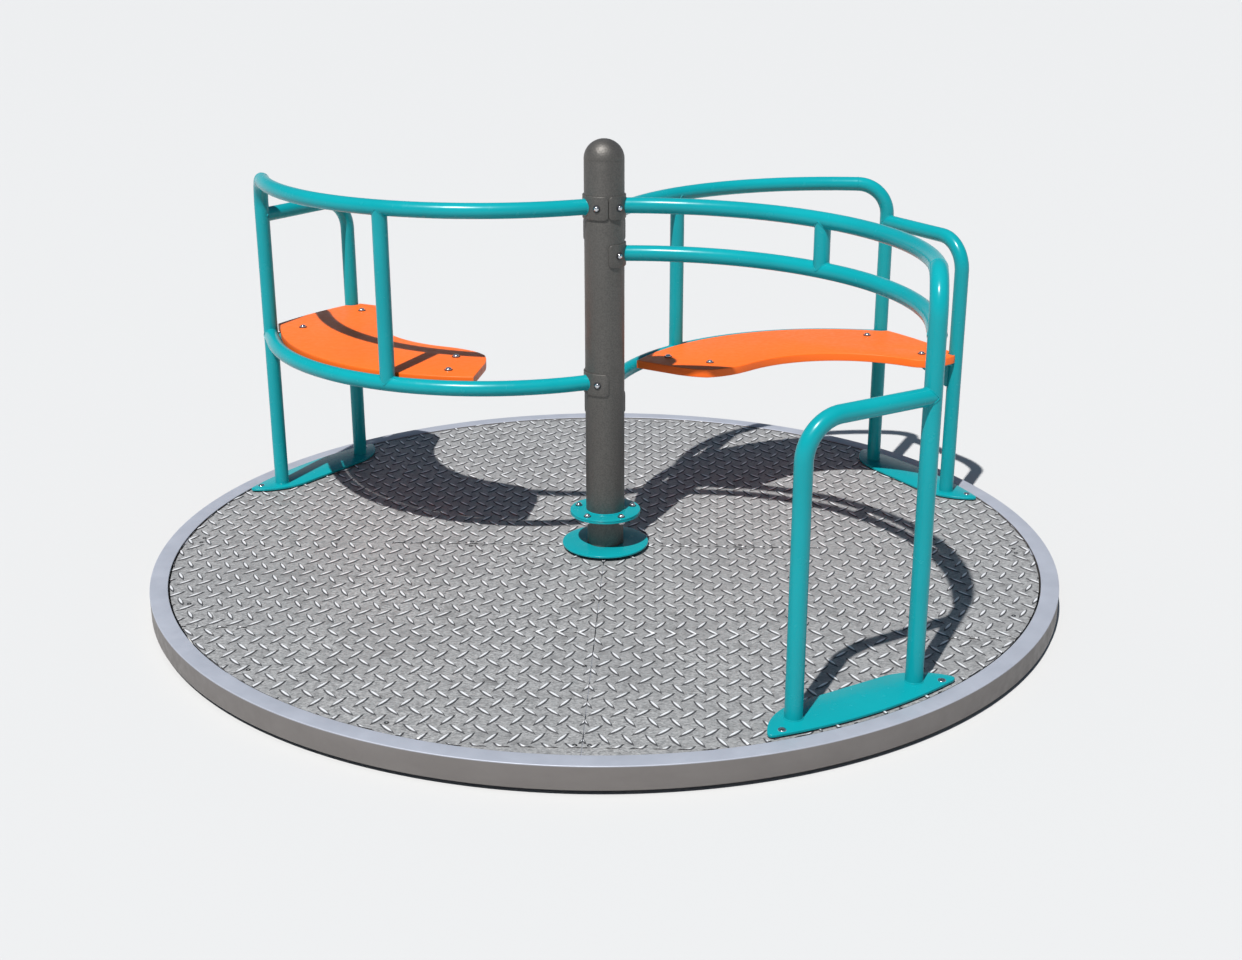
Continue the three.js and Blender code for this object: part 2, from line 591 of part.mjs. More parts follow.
function buildWing({ name, azimuth, top, lower, hoop, seatTop }) {
  const wing = new THREE.Group();
  wing.position.z = DECK_TOP;
  wing.rotation.z = radians(azimuth);
  model.add(wing);
  function add(part, geometry, material = MATERIALS.teal) {
    addPart(`${name}_${part}`, geometry, material, wing);
  }
  const isSeatWing = seatTop !== null;

  add('top_saddle', saddle(top), MATERIALS.post);
  add('lower_saddle', saddle(lower), MATERIALS.post);
  add('top_rail', cut(tube(railRoute(top)), saddleClearance(top)));

  const outerPost = outerPostRoute(top);
  add('outer_post', tube(outerPost));
  const lowerRail = railRoute(lower).forward(BEND_RADIUS);
  const lowerName = isSeatWing ? 'seat_rail' : 'second_rail';
  add(lowerName, cut(tube(lowerRail), saddleClearance(lower), clearanceTube(outerPost)));
  add('hoop', cut(tube(hoopRoute(hoop)), clearanceTube(outerPost)));

  const upright = besideRail(UPRIGHT_ALONG, RAIL_RADIUS);
  const uprightName = isSeatWing ? 'mid_post' : 'strut';
  const railsCut = [clearanceTube(railRoute(top)), clearanceTube(railRoute(lower))];
  add(uprightName, cut(tube(uprightRoute(upright, lower, top)), ...railsCut));
  add('foot_plate', footPlate());

  if (isSeatWing) {
    add('seat', seatBoard(seatTop), MATERIALS.seat);
    const bracketTop = seatTop - SEAT_THICKNESS - GAP;
    const besideSeatRail = clearanceTube(lowerRail);
    add('leg_bracket_1', cut(legBracket(LEG_1_PLAN, BOLT_NEAR_LEG_1, bracketTop), besideSeatRail));
    add('leg_bracket_2', legBracket(LEG_2_PLAN, BOLT_NEAR_LEG_2, bracketTop));
    add('rail_bracket', cut(railBracket(bracketTop), besideSeatRail));
  }
}

buildBase();
buildBearings();
buildHub();
buildPost();
buildPlatform();
WINGS.forEach(buildWing);

export default model;
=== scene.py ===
import math

import bpy
import numpy as np
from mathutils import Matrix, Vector


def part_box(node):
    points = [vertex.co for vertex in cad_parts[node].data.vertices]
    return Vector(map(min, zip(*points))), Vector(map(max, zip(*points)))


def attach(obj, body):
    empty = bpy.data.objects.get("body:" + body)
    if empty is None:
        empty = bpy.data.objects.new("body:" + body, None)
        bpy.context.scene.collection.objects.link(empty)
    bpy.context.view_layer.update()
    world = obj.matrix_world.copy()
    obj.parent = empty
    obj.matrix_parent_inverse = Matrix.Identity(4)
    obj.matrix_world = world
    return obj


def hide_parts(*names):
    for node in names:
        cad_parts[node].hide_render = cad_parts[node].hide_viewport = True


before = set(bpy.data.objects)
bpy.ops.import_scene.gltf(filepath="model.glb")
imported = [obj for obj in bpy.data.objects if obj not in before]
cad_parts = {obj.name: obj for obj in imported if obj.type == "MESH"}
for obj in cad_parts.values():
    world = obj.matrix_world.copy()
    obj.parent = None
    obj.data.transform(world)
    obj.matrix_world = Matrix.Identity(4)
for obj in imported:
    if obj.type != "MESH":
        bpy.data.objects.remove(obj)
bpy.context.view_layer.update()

# ---------------------------------------------------------------- driving dimensions
# In millimetres, as in the CAD, unless a comment says otherwise.
MM = 0.001  # in metres
GAP = 0.3  # clearance kept between faces that touch on the real object
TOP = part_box("rim_ring")[1][2] / MM  # deck level above the ground

RIM_OUTER = 1000.0
RIM_INNER = 962.0
RIM_WALL = 4.0
RIM_HEIGHT = 48.0
RIM_INNER_LIFT = 5.0  # how much higher the rim's inner wall ends than its outer wall
DECK_RADIUS = 958.0
DECK_HOLE = 60.0
DECK_THICKNESS = 4.0
DECK_TURN = -2.6  # degrees from +X to the first seam between the quarter plates
HALF_SEAM = 0.6  # from the middle of a seam to the edge of a plate
SCREW_CIRCLES = (306.0, 615.0, 924.0)  # radii of the pairs of screws along a seam
SCREW_TO_SEAM = 13.0
RIM_SCREW_STEP = 22.5  # degrees between single screws near the plates' outer edge

BAR_LENGTH = 52.0
BAR_WIDTH = 11.0
BAR_HEIGHT = 3.0
BAR_ROOT = 0.2  # how deep a bar stands in its plate
TREAD_ANGLES = (-61.0, 48.0)  # degrees of the two families of bars
TREAD_PITCH = (41.5, 66.0)  # between neighbours in a row, and between rows
TREAD_START = (36.9, 33.6)  # a quarter's corner to the first family's first bar
TREAD_OFFSET = (21.8, 32.0)  # from the first family's bars to the second's
TREAD_TURN = -1.5  # degrees from a quarter's seam to its rows of bars
TREAD_MIRROR = 467.0  # seam to the line about which the pattern is mirrored
TREAD_OVERHANG = 12.0  # how far outside the seam or the mirror line a bar's middle may lie
TREAD_INNER = 90.0  # bars wholly inside this radius are left out
TREAD_OUTER = DECK_RADIUS - 3  # and so are bars wholly outside this one

POST_RADIUS = 43.0
POST_WALL = 3.6
POST_RISE = 912.0  # top of the domed cap above the deck
SPIGOT_OUTER = 39.1  # the cap's spigot stands inside the post
SPIGOT_INNER = 36.1
SPIGOT_DEPTH = 18.0
HUB_RISE = 83.0  # top of the hub above the deck
HUB_TOP = TOP + HUB_RISE
HUB_RADIUS = 40.5
HUB_BORE = 32.0
HUB_PLATE_RADIUS = 170.0
HUB_PLATE_THICKNESS = 8.0
FLANGE_RADIUS = 79.0
FLANGE_BORE = 36.0
FLANGE_THICKNESS = 4.0
FLANGE_TOP = HUB_TOP + GAP + FLANGE_THICKNESS
COLLAR_RADIUS = 97.0
COLLAR_THICKNESS = 5.0
COLLAR_LIFT = 5.0  # deck to the underside of the collar
STUD_COUNT = 5
STUD_CIRCLE = 64.0

# Bolts are (head radius, head height, washer radius, washer height). Nuts are (radius, underside, top), with
# heights from the face that the bolt's washer stands on.
STUD_BOLT, STUD_NUT = (6.2, 4.8, 8.3, 1.2), (8.5, -15.0, -8.6)
SADDLE_BOLT = (5.6, 3.6, 8.2, 1.6)
SEAT_THICKNESS = 19.0
SEAT_BOLT, SEAT_NUT = (7.0, 4.2, 9.6, 1.2), (8.0, -SEAT_THICKNESS - 14.0, -SEAT_THICKNESS - 7.0)

TUBE = 16.85  # radius of every wing tube
TUBE_SIDES = 36
BEND = 75.0
BEND_STEPS = 18
RAIL_START = 44.25  # spin axis to the start of a rail
RAIL_SUNK = 2.0  # how far a rail reaches into its saddle
RAIL_RADIUS = 550.0
RAIL_SWEEP = 97.3
RAIL_CENTRE = (RAIL_START, -RAIL_RADIUS)
UPRIGHT_ALONG = 46.3  # degrees along a rail to its mid post or strut
LEG_SPACING = 280.0

SADDLE_OUTER = 46.35
SADDLE_INNER = 43.65
SADDLE_HEIGHT = 49.4
SADDLE_SPAN = 155.0  # degrees of the post that a saddle wraps
SADDLE_CORNER = 9.0
SADDLE_EDGE = 1.1
SADDLE_BOLT_ANGLE = 46.0  # degrees from a saddle's middle to its bolts
SADDLE_COLUMN = 4.0  # about how wide a column of a saddle's mesh is

FOOT_TOP = 6.3
FOOT_OUTER_RADIUS = 952.0
FOOT_INNER_EDGE = 850.0
FOOT_HALF_STRAIGHT = 95.0
FOOT_END_RADIUS = 140.0
FOOT_END_ANGLE = 122.0  # degrees on an end's arc where it turns into the tip
FOOT_RIM_ANGLE = 12.0  # degrees from the middle of the outer edge to its end
FOOT_SCREW_OUT = 921.0  # spin axis to the line through a foot plate's screws
FOOT_SCREW_REACH = 185.0  # from the middle of that line to a screw

SEAT_OUTER = RAIL_RADIUS - TUBE - 2
SEAT_INNER = 297.0
SEAT_RIM = 903.0  # spin axis to a seat's outer end
SEAT_BOLT_CIRCLE = 827.0

# Each wing leaves the post at its azimuth, in degrees from +X. Heights are above the deck, to a tube's centre
# or to the top of the seat.
WINGS = {
    "a": {"azimuth": 203.45, "top": 772.0, "lower": 388.0, "hoop": 678.0, "seat": 409.0},
    "b": {"azimuth": 89.4, "top": 720.0, "lower": 335.0, "hoop": 629.0, "seat": 356.0},
    "c": {"azimuth": -0.4, "top": 772.0, "lower": 670.0, "hoop": 561.0, "seat": None},
}

UP = np.array([0.0, 0.0, 1.0])


# ---------------------------------------------------------------- materials
def linear(red, green, blue):
    """An sRGB colour, 0 to 255, as linear values."""
    def channel(value):
        value /= 255
        return value / 12.92 if value <= 0.04045 else ((value + 0.055) / 1.055) ** 2.4
    return (channel(red), channel(green), channel(blue), 1.0)


def map_range(tree, value, low, high, start, end):
    """A node output that takes values low to high to start to end, which are numbers."""
    node = tree.nodes.new("ShaderNodeMapRange")
    for socket, number in zip(("From Min", "From Max", "To Min", "To Max"), (low, high, start, end)):
        node.inputs[socket].default_value = number
    tree.links.new(value, node.inputs["Value"])
    return node.outputs["Result"]


def mix_colors(tree, factor, first, second):
    """A node output that mixes two colours, each a constant or an output."""
    node = tree.nodes.new("ShaderNodeMix")
    node.data_type = "RGBA"
    tree.links.new(factor, node.inputs["Factor"])
    first_color, second_color, mixed_color = node.inputs[6], node.inputs[7], node.outputs[2]
    for socket, color in ((first_color, first), (second_color, second)):
        if isinstance(color, tuple):
            socket.default_value = color
        else:
            tree.links.new(color, socket)
    return mixed_color


class Surface:
    """A Principled material with object-space textures that drive its colour, roughness and bump."""

    def __init__(self, name, color, roughness, metallic=0.0, specular=0.5):
        self.material = bpy.data.materials.new(name)
        self.material.use_nodes = True
        self.tree = self.material.node_tree
        self.shader = self.tree.nodes["Principled BSDF"]
        self.shader.inputs["Base Color"].default_value = color
        self.shader.inputs["Roughness"].default_value = roughness
        self.shader.inputs["Metallic"].default_value = metallic
        self.shader.inputs["Specular IOR Level"].default_value = specular
        self.place = self.tree.nodes.new("ShaderNodeTexCoord").outputs["Object"]

    def link(self, output, target):
        self.tree.links.new(output, target)

    def noise(self, scale, detail=3.0, stretch=(1, 1, 1), distortion=0.0):
        mapping = self.tree.nodes.new("ShaderNodeMapping")
        mapping.inputs["Scale"].default_value = stretch
        self.link(self.place, mapping.inputs["Vector"])
        texture = self.tree.nodes.new("ShaderNodeTexNoise")
        texture.inputs["Scale"].default_value = scale
        texture.inputs["Detail"].default_value = detail
        texture.inputs["Distortion"].default_value = distortion
        self.link(mapping.outputs["Vector"], texture.inputs["Vector"])
        return texture.outputs["Fac"]

    def voronoi(self, scale, output="Distance"):
        texture = self.tree.nodes.new("ShaderNodeTexVoronoi")
        texture.inputs["Scale"].default_value = scale
        self.link(self.place, texture.inputs["Vector"])
        return texture.outputs[output]

    def height(self):
        """The z of the surface in the part's frame, in metres."""
        split = self.tree.nodes.new("ShaderNodeSeparateXYZ")
        self.link(self.place, split.inputs["Vector"])
        return split.outputs["Z"]

    def ramp(self, value, low, high, start, end):
        return map_range(self.tree, value, low, high, start, end)

    def mix(self, factor, first, second):
        return mix_colors(self.tree, factor, first, second)

    def colored(self, output):
        self.link(output, self.shader.inputs["Base Color"])

    def rough(self, output):
        self.link(output, self.shader.inputs["Roughness"])

    def metal(self, output):
        self.link(output, self.shader.inputs["Metallic"])

    def bump(self, *layers):
        """Layers of (height output, strength, distance in metres)."""
        normal = None
        for output, strength, distance in layers:
            node = self.tree.nodes.new("ShaderNodeBump")
            node.inputs["Strength"].default_value = strength
            node.inputs["Distance"].default_value = distance
            self.link(output, node.inputs["Height"])
            if normal is not None:
                self.link(normal, node.inputs["Normal"])
            normal = node.outputs["Normal"]
        self.link(normal, self.shader.inputs["Normal"])
        return self


def teal_paint():
    base, pale, deep = linear(10, 142, 150), linear(12, 145, 153), linear(8, 138, 146)
    s = Surface("teal_powder_coat", base, 0.24, specular=0.24)
    broad = s.ramp(s.noise(5.0), 0.35, 0.65, 0.0, 1.0)
    s.colored(s.mix(broad, deep, pale))
    s.rough(s.ramp(s.noise(60.0), 0.3, 0.7, 0.2, 0.28))
    return s.bump((s.noise(420.0, 2.0), 0.08, 0.0003)).material


def post_paint():
    base, pale, brown = linear(94, 92, 89), linear(108, 106, 103), linear(98, 91, 86)
    dark = linear(72, 71, 70)
    s = Surface("hammered_dark_grey", base, 0.44, metallic=0.62)
    speckle = s.ramp(s.noise(340.0, 2.0), 0.42, 0.6, 0.0, 0.4)
    streaks = s.ramp(s.noise(9.0, 4.0, (1.0, 1.0, 0.12)), 0.35, 0.68, 0.0, 1.0)
    warm = s.ramp(s.noise(3.0, 2.0, (1.0, 1.0, 0.3)), 0.45, 0.7, 0.0, 0.8)
    s.colored(s.mix(speckle, s.mix(warm, s.mix(streaks, base, pale), brown), dark))
    s.rough(s.ramp(s.noise(40.0), 0.3, 0.7, 0.44, 0.56))
    return s.bump((s.voronoi(200.0), 0.34, 0.0008), (s.noise(380.0), 0.25, 0.0004)).material


def galvanised():
    base, pale, dull = linear(168, 172, 184), linear(188, 192, 204), linear(140, 142, 150)
    s = Surface("galvanised_steel", base, 0.5, metallic=0.45)
    cells = s.ramp(s.voronoi(70.0, "Color"), 0.1, 0.9, 0.0, 1.0)
    stains = s.ramp(s.noise(4.0, 6.0), 0.42, 0.72, 0.0, 0.7)
    s.colored(s.mix(stains, s.mix(cells, base, pale), dull))
    s.rough(s.ramp(s.noise(30.0), 0.3, 0.7, 0.40, 0.60))
    return s.bump((s.noise(220.0), 0.15, 0.0003)).material


def rim_steel():
    """Pale on top, with the sides painted darker than the top as shade."""
    # The side colour is painted shade: the ring's sides are coloured darker than its top, as faces in shade.
    top, pale, side = linear(160, 164, 175), linear(167, 171, 182), linear(110, 106, 104)
    s = Surface("rim_steel", top, 0.55, metallic=0.25, specular=0.3)
    mottled = s.ramp(s.noise(14.0, 5.0), 0.35, 0.65, 0.0, 1.0)
    # This height mask paints the shade: below the outer edge's rounding the colour turns to the darker side
    # colour.
    level = s.ramp(s.height(), TOP * MM - 0.0028, TOP * MM - 0.0010, 0.0, 1.0)
    streaked = s.ramp(s.noise(8.0, 5.0, (1.0, 1.0, 3.0)), 0.35, 0.7, 0.0, 1.0)
    s.colored(s.mix(level, s.mix(streaked, side, linear(115, 111, 109)), s.mix(mottled, top, pale)))
    s.rough(s.ramp(s.noise(45.0), 0.3, 0.7, 0.42, 0.6))
    return s.bump((s.noise(260.0), 0.15, 0.0003)).material


def tread_steel():
    """Grimy plate, with the feet of the bars painted dark as shade and dirt, and their crests painted bright
    as highlight and wear.
    """
    base, pale, dirt = linear(112, 112, 113), linear(176, 176, 176), linear(92, 91, 91)
    # The bright crest colour is painted highlight as well as wear; the dark foot colour is painted shade as
    # well as dirt.
    wear_and_highlight, dirt_and_shade = linear(242, 242, 244), linear(54, 54, 58)
    s = Surface("tread_plate", base, 0.5, metallic=0.18, specular=0.35)
    fine = s.ramp(s.noise(150.0, 5.0, (1.0, 2.2, 1.0), 0.8), 0.36, 0.64, 0.0, 1.0)
    cloudy = s.ramp(s.noise(6.0, 6.0), 0.40, 0.70, 0.0, 0.5)
    scuffed = s.ramp(s.noise(26.0, 8.0, distortion=0.6), 0.54, 0.76, 0.0, 0.5)
    plain = s.mix(fine, base, pale)
    grimy = s.mix(scuffed, s.mix(cloudy, plain, linear(136, 136, 137)), dirt)
    plate = TOP - BAR_HEIGHT
    # Painted shade with dirt: the creases at the feet of the bars are darkened.
    foot = s.ramp(s.height(), (plate + 0.02) * MM, (plate + 0.3) * MM, 0.0, 0.85)
    # Painted highlight with wear: the crests of the bars are brightened.
    crest_highlight_mask = s.ramp(s.height(), (TOP - 1.2) * MM, (TOP - 0.5) * MM, 0.0, 1.0)
    s.colored(s.mix(crest_highlight_mask, s.mix(foot, grimy, dirt_and_shade), wear_and_highlight))
    s.metal(s.ramp(s.height(), (plate + 0.1) * MM, (plate + 0.6) * MM, 0.15, 0.4))
    s.rough(s.ramp(s.noise(70.0, 4.0), 0.3, 0.7, 0.42, 0.56))
    return s.bump((s.noise(500.0, 4.0), 0.3, 0.0004), (s.noise(90.0), 0.2, 0.0006)).material


def orange_board():
    base, pale = linear(240, 103, 26), linear(243, 106, 29)
    s = Surface("orange_plastic", base, 0.42, specular=0.3)
    s.colored(s.mix(s.ramp(s.noise(7.0), 0.35, 0.65, 0.0, 1.0), base, pale))
    s.rough(s.ramp(s.noise(80.0), 0.3, 0.7, 0.36, 0.5))
    return s.bump((s.noise(700.0, 3.0), 0.2, 0.0003)).material


def bright_steel():
    s = Surface("polished_steel", linear(216, 218, 222), 0.16, metallic=1.0)
    s.rough(s.ramp(s.noise(200.0), 0.3, 0.7, 0.1, 0.24))
    return s.bump((s.noise(600.0), 0.06, 0.0001)).material


def dark_steel():
    base, pale = linear(44, 44, 46), linear(66, 66, 70)
    # The same dark steel also paints the shade in the foot plates' screw holes.
    s = Surface("blackened_steel_and_painted_hole_shade", base, 0.5, metallic=0.6)
    s.colored(s.mix(s.ramp(s.noise(120.0), 0.35, 0.65, 0.0, 1.0), base, pale))
    return s.bump((s.noise(500.0), 0.15, 0.0002)).material


def machined_steel():
    base, pale = linear(150, 152, 158), linear(178, 180, 186)
    s = Surface("machined_steel", base, 0.3, metallic=0.95)
    s.colored(s.mix(s.ramp(s.noise(40.0, 3.0, (1, 1, 8)), 0.35, 0.65, 0.0, 1.0), base, pale))
    return s.bump((s.noise(300.0, 2.0, (1, 1, 12)), 0.1, 0.0002)).material


def seal_rubber():
    base, pale = linear(26, 26, 28), linear(40, 40, 42)
    s = Surface("seal_rubber", base, 0.75)
    s.colored(s.mix(s.ramp(s.noise(90.0), 0.35, 0.65, 0.0, 1.0), base, pale))
    return s.bump((s.noise(400.0), 0.2, 0.0002)).material


TEAL = teal_paint()
POST = post_paint()
GALVANISED = galvanised()
RIM = rim_steel()
TREAD = tread_steel()
ORANGE = orange_board()
BRIGHT = bright_steel()
DARK = dark_steel()
MACHINED = machined_steel()
RUBBER = seal_rubber()


# ---------------------------------------------------------------- mesh helpers
class Build:
    """Collects vertices in millimetres and faces with a material each, and turns them into one piece."""

    def __init__(self, *materials):
        self.materials = materials
        self.vertices = []
        self.faces = []
        self.slots = []

    def add(self, vertices, faces, slot=0, place=None):
        start = len(self.vertices)
        self.vertices.extend(place(v) if place else v for v in np.asarray(vertices, float))
        self.faces.extend([start + i for i in face] for face in faces)
        self.slots.extend([slot] * len(faces))

    def finish(self, name, replaces=(), body="platform", sharp=35.0):
        mesh = bpy.data.meshes.new(name)
        mesh.from_pydata((np.array(self.vertices) * MM).tolist(), [], self.faces)
        for material in self.materials:
            mesh.materials.append(material)
        mesh.polygons.foreach_set("material_index", self.slots)
        mesh.polygons.foreach_set("use_smooth", [True] * len(self.faces))
        mesh.validate()
        mesh.set_sharp_from_angle(angle=math.radians(sharp))
        piece = bpy.data.objects.new(name, mesh)
        bpy.context.scene.collection.objects.link(piece)
        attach(piece, body)
        if replaces:
            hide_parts(*replaces)


def facing(faces, flipped):
    """The faces as they are, or turned over for a mirrored shape."""
    return [face[::-1] for face in faces] if flipped else faces


def polar(radius, degrees):
    return np.array([radius * math.cos(math.radians(degrees)), radius * math.sin(math.radians(degrees))])


def turned(point, degrees):
    cosine, sine = math.cos(math.radians(degrees)), math.sin(math.radians(degrees))
    return np.array([cosine * point[0] - sine * point[1], sine * point[0] + cosine * point[1], *point[2:]])


def unit(vector):
    return vector / np.linalg.norm(vector)


def bridge(rings, sides, closed_path):
    """Quads between rings of the same number of vertices."""
    count = rings if closed_path else rings - 1
    faces = []
    for i in range(count):
        a, b = i * sides, ((i + 1) % rings) * sides
        faces.extend([a + j, b + j, b + (j + 1) % sides, a + (j + 1) % sides] for j in range(sides))
    return faces


def sweep(points, headings, radius, sides=32, closed=False):
    """A round bar along points, each cut square to its heading."""
    across = unit(np.cross(headings[0], UP if abs(headings[0][2]) < 0.9 else [1.0, 0.0, 0.0]))
    angles = np.linspace(0, 2 * math.pi, sides, endpoint=False)
    vertices = []
    for point, heading in zip(points, headings):
        across = unit(across - heading * np.dot(across, heading))
        other = np.cross(heading, across)
        vertices.extend(point + radius * (math.cos(a) * across + math.sin(a) * other) for a in angles)
    faces = bridge(len(points), sides, closed)
    if not closed:
        last = (len(points) - 1) * sides
        faces.append(list(range(sides))[::-1])
        faces.append([last + j for j in range(sides)])
    return vertices, facing(faces, True)


def loop_headings(points):
    points = np.asarray(points)
    return [unit(v) for v in np.roll(points, -1, axis=0) - np.roll(points, 1, axis=0)]


def lathe(profile, segments=96):
    """Turns (radius, z) points about the Z axis, listed anticlockwise in the r-z plane."""
    vertices = []
    for i in range(segments):
        angle = 2 * math.pi * i / segments
        vertices.extend([r * math.cos(angle), r * math.sin(angle), z] for r, z in profile)
    return vertices, facing(bridge(segments, len(profile), True), True)


def rounded(outline, radius, steps=4, corners=None):
    """Rounds the corners of a closed outline; corners picks some by index."""
    outline = np.asarray(outline, float)
    made = []
    for i, corner in enumerate(outline):
        if corners is not None and i not in corners:
            made.append(corner)
            continue
        before, after = outline[i - 1] - corner, outline[(i + 1) % len(outline)] - corner
        reach = min(radius, 0.45 * np.linalg.norm(before), 0.45 * np.linalg.norm(after))
        start, end = corner + unit(before) * reach, corner + unit(after) * reach
        for k in range(steps + 1):
            t = k / steps
            made.append((1 - t) ** 2 * start + 2 * t * (1 - t) * corner + t * t * end)
    return np.array(made)


def inset(outline, distance):
    """Moves each point of an anticlockwise outline inwards."""
    ahead = np.roll(outline, -1, axis=0) - outline
    behind = outline - np.roll(outline, 1, axis=0)
    ahead /= np.linalg.norm(ahead, axis=1)[:, None]
    behind /= np.linalg.norm(behind, axis=1)[:, None]
    normal = np.stack([-(ahead + behind)[:, 1], (ahead + behind)[:, 0]], axis=1)
    normal /= np.linalg.norm(normal, axis=1)[:, None]
    stretch = np.clip(np.abs(-ahead[:, 1] * normal[:, 0] + ahead[:, 0] * normal[:, 1]), 0.5, 1)
    return outline + normal * (distance / stretch)[:, None]


def slab(outline, bottom, top, edge, steps=4):
    """A flat plate with rounded edges, from an anticlockwise outline."""
    layers = []
    for k in range(steps + 1):
        angle = math.radians(90 * k / steps)
        layers.append((edge * (1 - math.sin(angle)), bottom + edge * (1 - math.cos(angle))))
    layers += [(shift, bottom + top - z) for shift, z in reversed(layers)]
    vertices = []
    for shift, z in layers:
        vertices.extend([x, y, z] for x, y in inset(outline, shift))
    sides = len(outline)
    faces = facing(bridge(len(layers), sides, False), True)
    faces.append(list(range(sides))[::-1])
    faces.append([(len(layers) - 1) * sides + j for j in range(sides)])
    return vertices, faces


def bite(outline, centre, radius, steps=14):
    """Takes a round bite out of an anticlockwise outline whose edge crosses the circle twice."""
    outline = np.asarray(outline)
    inside = np.linalg.norm(outline - centre, axis=1) < radius
    first = next(i for i in range(len(outline)) if inside[i] and not inside[i - 1])
    last = next(i for i in range(len(outline)) if inside[i - 1] and not inside[i])

    def crossing(outer, inner):
        low, high = 0.0, 1.0
        for _ in range(40):
            middle = (low + high) / 2
            if np.linalg.norm(outer + (inner - outer) * middle - centre) > radius:
                low = middle
            else:
                high = middle
        return outer + (inner - outer) * low

    enter = crossing(outline[first - 1], outline[first])
    leave = crossing(outline[last], outline[last - 1])
    start = math.degrees(math.atan2(*(enter - centre)[::-1]))
    end = math.degrees(math.atan2(*(leave - centre)[::-1]))
    if end > start:
        end -= 360
    arc = [centre + polar(radius, start + (end - start) * k / steps) for k in range(steps + 1)]
    count = len(outline)
    kept = [outline[(last + i) % count] for i in range((first - last) % count)]
    return np.array(kept + arc)


def arc(centre, radius, start, end, steps):
    """Points along an arc, from start to end in degrees."""
    return [np.array(centre) + polar(radius, start + (end - start) * k / steps) for k in range(steps + 1)]


def quadratic(start, bend, end, steps):
    """Points along a curve that leaves start towards bend and arrives at end from bend."""
    start, bend, end = np.array(start), np.array(bend), np.array(end)
    ts = np.linspace(0, 1, steps + 1)
    return [(1 - t) ** 2 * start + 2 * t * (1 - t) * bend + t * t * end for t in ts]


def without_repeats(points, closest=0.05):
    kept = []
    for point in points:
        if not kept or np.linalg.norm(point - kept[-1]) > closest:
            kept.append(point)
    if np.linalg.norm(kept[0] - kept[-1]) < closest:
        kept.pop()
    return np.array(kept)


def dome_bolt(radius, height, washer, washer_height):
    """A dome head on a washer, standing on z = 0: (vertices, faces) for the head, then for the washer."""
    head = [(0.0, washer_height), (radius, washer_height)]
    head += [(radius * math.cos(a), washer_height + 0.8 + height * math.sin(a))
             for a in np.radians(np.linspace(0, 88, 7))]
    head.append((0.0, washer_height + 0.8 + height))
    disc = rounded([(0.0, 0.0), (washer, 0.0), (washer, washer_height), (0.0, washer_height)], 0.5, 2, (1, 2))
    return lathe(head, 24), lathe(disc, 24)


def add_bolt(build, sizes, place, slots):
    """Adds a dome bolt; slots are the materials of its head and its washer."""
    head, disc = dome_bolt(*sizes)
    build.add(*head, slot=slots[0], place=place)
    build.add(*disc, slot=slots[1], place=place)


def hex_nut(radius, bottom, top):
    return lathe([(0.0, bottom), (radius, bottom), (radius, top), (0.0, top)], 6)


def stand_on(origin, normal):
    """A placement that carries +Z to a normal at a point."""
    normal = unit(np.asarray(normal, float))
    side = unit(np.cross(normal, [0.0, 0.0, 1.0] if abs(normal[2]) < 0.9 else [1.0, 0.0, 0.0]))
    other = np.cross(normal, side)
    return lambda v: np.asarray(origin) + v[0] * side + v[1] * other + v[2] * normal


class Route:
    """A tube's centre line as a bender works: forward so far, then turn by an angle about an axis."""

    def __init__(self, point, heading):
        self.point = np.array(point, float)
        self.heading = unit(np.array(heading, float))
        self.points = [self.point]
        self.headings = [self.heading]

    def mark(self):
        self.points.append(self.point)
        self.headings.append(self.heading)
        return self

    def forward(self, length):
        self.point = self.point + self.heading * length
        return self.mark()

    def turn(self, axis, degrees, radius, steps):
        centre = self.point + np.cross(axis, self.heading) * math.copysign(radius, degrees)
        step = math.radians(degrees) / steps
        for _ in range(steps):
            self.point = centre + spun(self.point - centre, axis, step)
            self.heading = spun(self.heading, axis, step)
            self.mark()
        return self


def spun(vector, axis, angle):
    """Rodrigues' rotation of a vector about a unit axis."""
    return (vector * math.cos(angle) + np.cross(axis, vector) * math.sin(angle)
            + axis * np.dot(axis, vector) * (1 - math.cos(angle)))


# ---------------------------------------------------------------- wings
def rail_route(height):
    return (Route([RAIL_START - RAIL_SUNK, 0, height], [1, 0, 0])
            .forward(RAIL_SUNK)
            .turn(UP, -RAIL_SWEEP, RAIL_RADIUS, 64))


def beside_rail(along, radius):
    """In plan: so many degrees along a rail, and a radius from the centre of its arc."""
    return polar(radius, 90 - along) + np.array(RAIL_CENTRE)


def rail_arc(radius, start, end, steps):
    """In plan: an arc about a rail's centre, between degrees along the rail."""
    return arc(RAIL_CENTRE, radius, 90 - start, 90 - end, steps)


rail_end = rail_route(0)
LEG_1 = (rail_end.point + rail_end.heading * BEND)[:2]
LEG_CIRCLE = float(np.linalg.norm(LEG_1))
LEG_1_ANGLE = math.degrees(math.atan2(LEG_1[1], LEG_1[0]))
LEG_APART = 2 * math.degrees(math.asin(LEG_SPACING / 2 / LEG_CIRCLE))
LEG_2 = polar(LEG_CIRCLE, LEG_1_ANGLE - LEG_APART)
BETWEEN_LEGS = LEG_1_ANGLE - LEG_APART / 2


def past_leg(degrees, radius):
    """In plan: so many degrees past the first leg, towards the second, at a radius from the spin axis."""
    return polar(radius, LEG_1_ANGLE - degrees)


SEAT_BOLTS = [past_leg(1.7, SEAT_BOLT_CIRCLE), past_leg(15.9, SEAT_BOLT_CIRCLE),
              beside_rail(35.2, 374), beside_rail(33.4, 482)]


def outer_post_route(height):
    side = np.cross(UP, rail_end.heading)
    return (Route([*rail_end.point[:2], height], rail_end.heading)
            .turn(side, 90, BEND, BEND_STEPS)
            .forward(height - BEND - FOOT_TOP))


